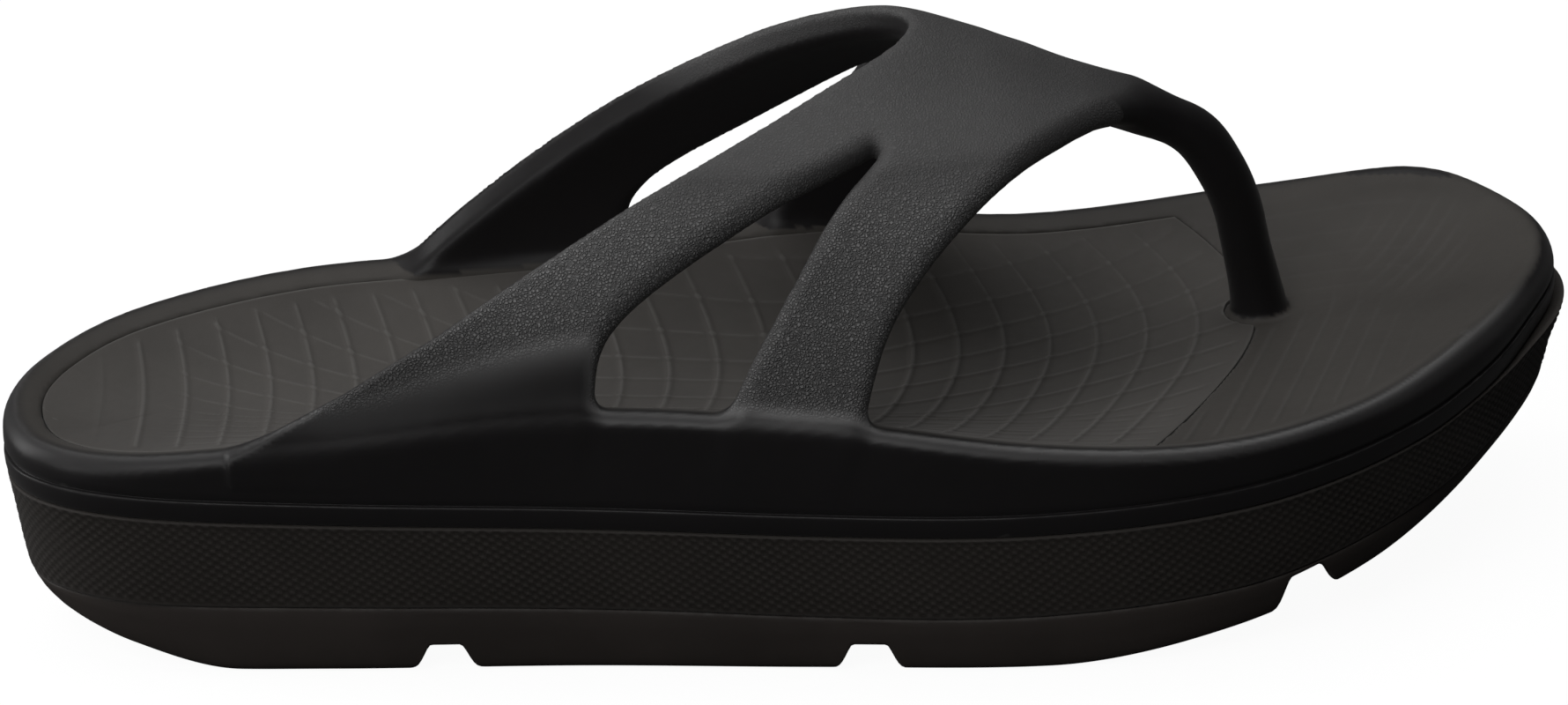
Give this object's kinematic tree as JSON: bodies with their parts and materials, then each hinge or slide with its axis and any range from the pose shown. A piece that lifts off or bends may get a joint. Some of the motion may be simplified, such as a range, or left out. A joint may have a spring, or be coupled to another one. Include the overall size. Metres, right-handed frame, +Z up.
{
  "type": "flip flop",
  "caption": "Right-foot moulded foam thong sandal: rocker sole in cemented layers, open strap legs that meet in a yoke, and a toe post.",
  "frame": {"origin": "on the ground plane, under the centre of the outline", "axes": "+X from heel to toe, +Y towards the inner (big toe) side, +Z up"},
  "size_m": [0.27, 0.101, 0.0979],
  "materials": {
    "upper_foam": "satin",
    "footbed_foam": "matte",
    "midsole_foam": "matte",
    "outsole_rubber": "matte",
    "washer_plastic": "matte"
  },
  "bodies": {
    "root": {"upper": "upper_foam", "footbed": "footbed_foam", "midsole": "midsole_foam", "outsole": "outsole_rubber", "toe_post_washer": "washer_plastic"}
  },
  "joints": []
}
